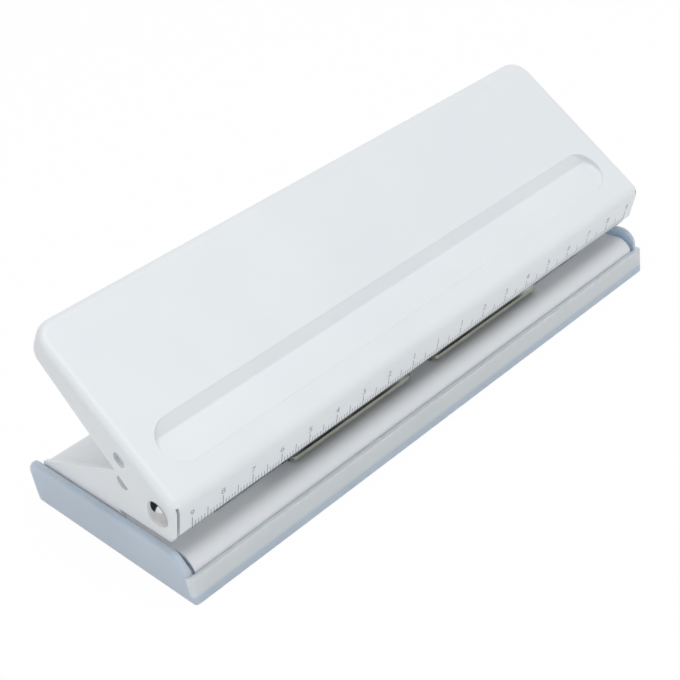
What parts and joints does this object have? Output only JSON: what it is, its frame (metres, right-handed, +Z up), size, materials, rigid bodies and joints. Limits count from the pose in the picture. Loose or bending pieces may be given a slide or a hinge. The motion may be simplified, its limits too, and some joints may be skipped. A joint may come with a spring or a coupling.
{
  "type": "adjustable hole punch",
  "caption": "Long desktop planner punch: full-width pressed-steel palm lever with a centimetre scale, sliding spring-pin punch heads, base frame with end ears and a pull-off chip tray.",
  "frame": {"origin": "centre of the chip tray's underside, on the table", "axes": "+X along the machine to the user's right, +Y to the back, +Z up; the paper goes in from the front, towards +Y"},
  "size_m": [0.1948, 0.0748, 0.0668],
  "materials": {
    "lever_enamel": "satin silver-white enamel",
    "frame_enamel": "satin silver-grey enamel",
    "tray_plastic": "frosted translucent",
    "rivet_chrome": "polished",
    "washer_steel": "zinc plated",
    "bar_steel": "zinc plated",
    "die_steel": "ground",
    "head_zinc": "yellowish zinc plated",
    "shoe_plastic": "moulded",
    "rivet_steel": "zinc plated",
    "pin_steel": "hardened and ground",
    "clip_steel": "blackened",
    "spring_steel": "spring wire"
  },
  "bodies": {
    "frame": {"base_frame": "frame_enamel", "pivot_rivet_left": "rivet_chrome", "pivot_washer_left": "washer_steel", "pivot_rivet_right": "rivet_chrome", "pivot_washer_right": "washer_steel"},
    "tray": {"chip_tray": "tray_plastic"},
    "lever": {"lever_cover": "lever_enamel", "press_bar": "bar_steel"},
    "head_left": {"die_plate_left": "die_steel", "paper_stop_left": "head_zinc", "head_channel_left": "head_zinc", "slide_shoe_left": "shoe_plastic", "stack_rivets_left": "rivet_steel", "shoe_rivets_left": "rivet_steel", "pin_spring_1": "spring_steel", "pin_spring_2": "spring_steel", "pin_spring_3": "spring_steel"},
    "head_right": {"die_plate_right": "die_steel", "paper_stop_right": "head_zinc", "head_channel_right": "head_zinc", "slide_shoe_right": "shoe_plastic", "stack_rivets_right": "rivet_steel", "shoe_rivets_right": "rivet_steel", "pin_spring_4": "spring_steel", "pin_spring_5": "spring_steel", "pin_spring_6": "spring_steel"},
    "pin_1": {"punch_pin_1": "pin_steel", "pin_clip_1": "clip_steel"},
    "pin_2": {"punch_pin_2": "pin_steel", "pin_clip_2": "clip_steel"},
    "pin_3": {"punch_pin_3": "pin_steel", "pin_clip_3": "clip_steel"},
    "pin_4": {"punch_pin_4": "pin_steel", "pin_clip_4": "clip_steel"},
    "pin_5": {"punch_pin_5": "pin_steel", "pin_clip_5": "clip_steel"},
    "pin_6": {"punch_pin_6": "pin_steel", "pin_clip_6": "clip_steel"}
  },
  "joints": [
    {"name": "lever_hinge", "type": "hinge", "parent": "frame", "child": "lever", "pos_m": [0, -0.0301, 0.0267], "axis": [-1, 0, 0], "range_deg": [0, 36], "stiffness_Nm_per_rad": 0.4, "springref_deg": -34.38},
    {"name": "head_left_slide", "type": "slide", "parent": "frame", "child": "head_left", "axis": [-1, 0, 0], "range_m": [0, 0.0255]},
    {"name": "head_right_slide", "type": "slide", "parent": "frame", "child": "head_right", "axis": [1, 0, 0], "range_m": [0, 0.0255]},
    {"name": "tray_release", "type": "slide", "parent": "frame", "child": "tray", "axis": [0, 0, -1], "range_m": [0, 0.02]},
    {"name": "pin_1_slide", "type": "slide", "parent": "head_left", "child": "pin_1", "axis": [0, 0, -1], "range_m": [0, 0.00465], "deforming": ["pin_spring_1"]},
    {"name": "pin_2_slide", "type": "slide", "parent": "head_left", "child": "pin_2", "axis": [0, 0, -1], "range_m": [0, 0.00465], "deforming": ["pin_spring_2"]},
    {"name": "pin_3_slide", "type": "slide", "parent": "head_left", "child": "pin_3", "axis": [0, 0, -1], "range_m": [0, 0.00465], "deforming": ["pin_spring_3"]},
    {"name": "pin_4_slide", "type": "slide", "parent": "head_right", "child": "pin_4", "axis": [0, 0, -1], "range_m": [0, 0.00465], "deforming": ["pin_spring_4"]},
    {"name": "pin_5_slide", "type": "slide", "parent": "head_right", "child": "pin_5", "axis": [0, 0, -1], "range_m": [0, 0.00465], "deforming": ["pin_spring_5"]},
    {"name": "pin_6_slide", "type": "slide", "parent": "head_right", "child": "pin_6", "axis": [0, 0, -1], "range_m": [0, 0.00465], "deforming": ["pin_spring_6"]}
  ],
  "couplings": [
    {"joint": "pin_1_slide", "follows": "lever_hinge", "m_per_rad": 0.007364},
    {"joint": "pin_2_slide", "follows": "lever_hinge", "m_per_rad": 0.007364},
    {"joint": "pin_3_slide", "follows": "lever_hinge", "m_per_rad": 0.007364},
    {"joint": "pin_4_slide", "follows": "lever_hinge", "m_per_rad": 0.007364},
    {"joint": "pin_5_slide", "follows": "lever_hinge", "m_per_rad": 0.007364},
    {"joint": "pin_6_slide", "follows": "lever_hinge", "m_per_rad": 0.007364}
  ]
}
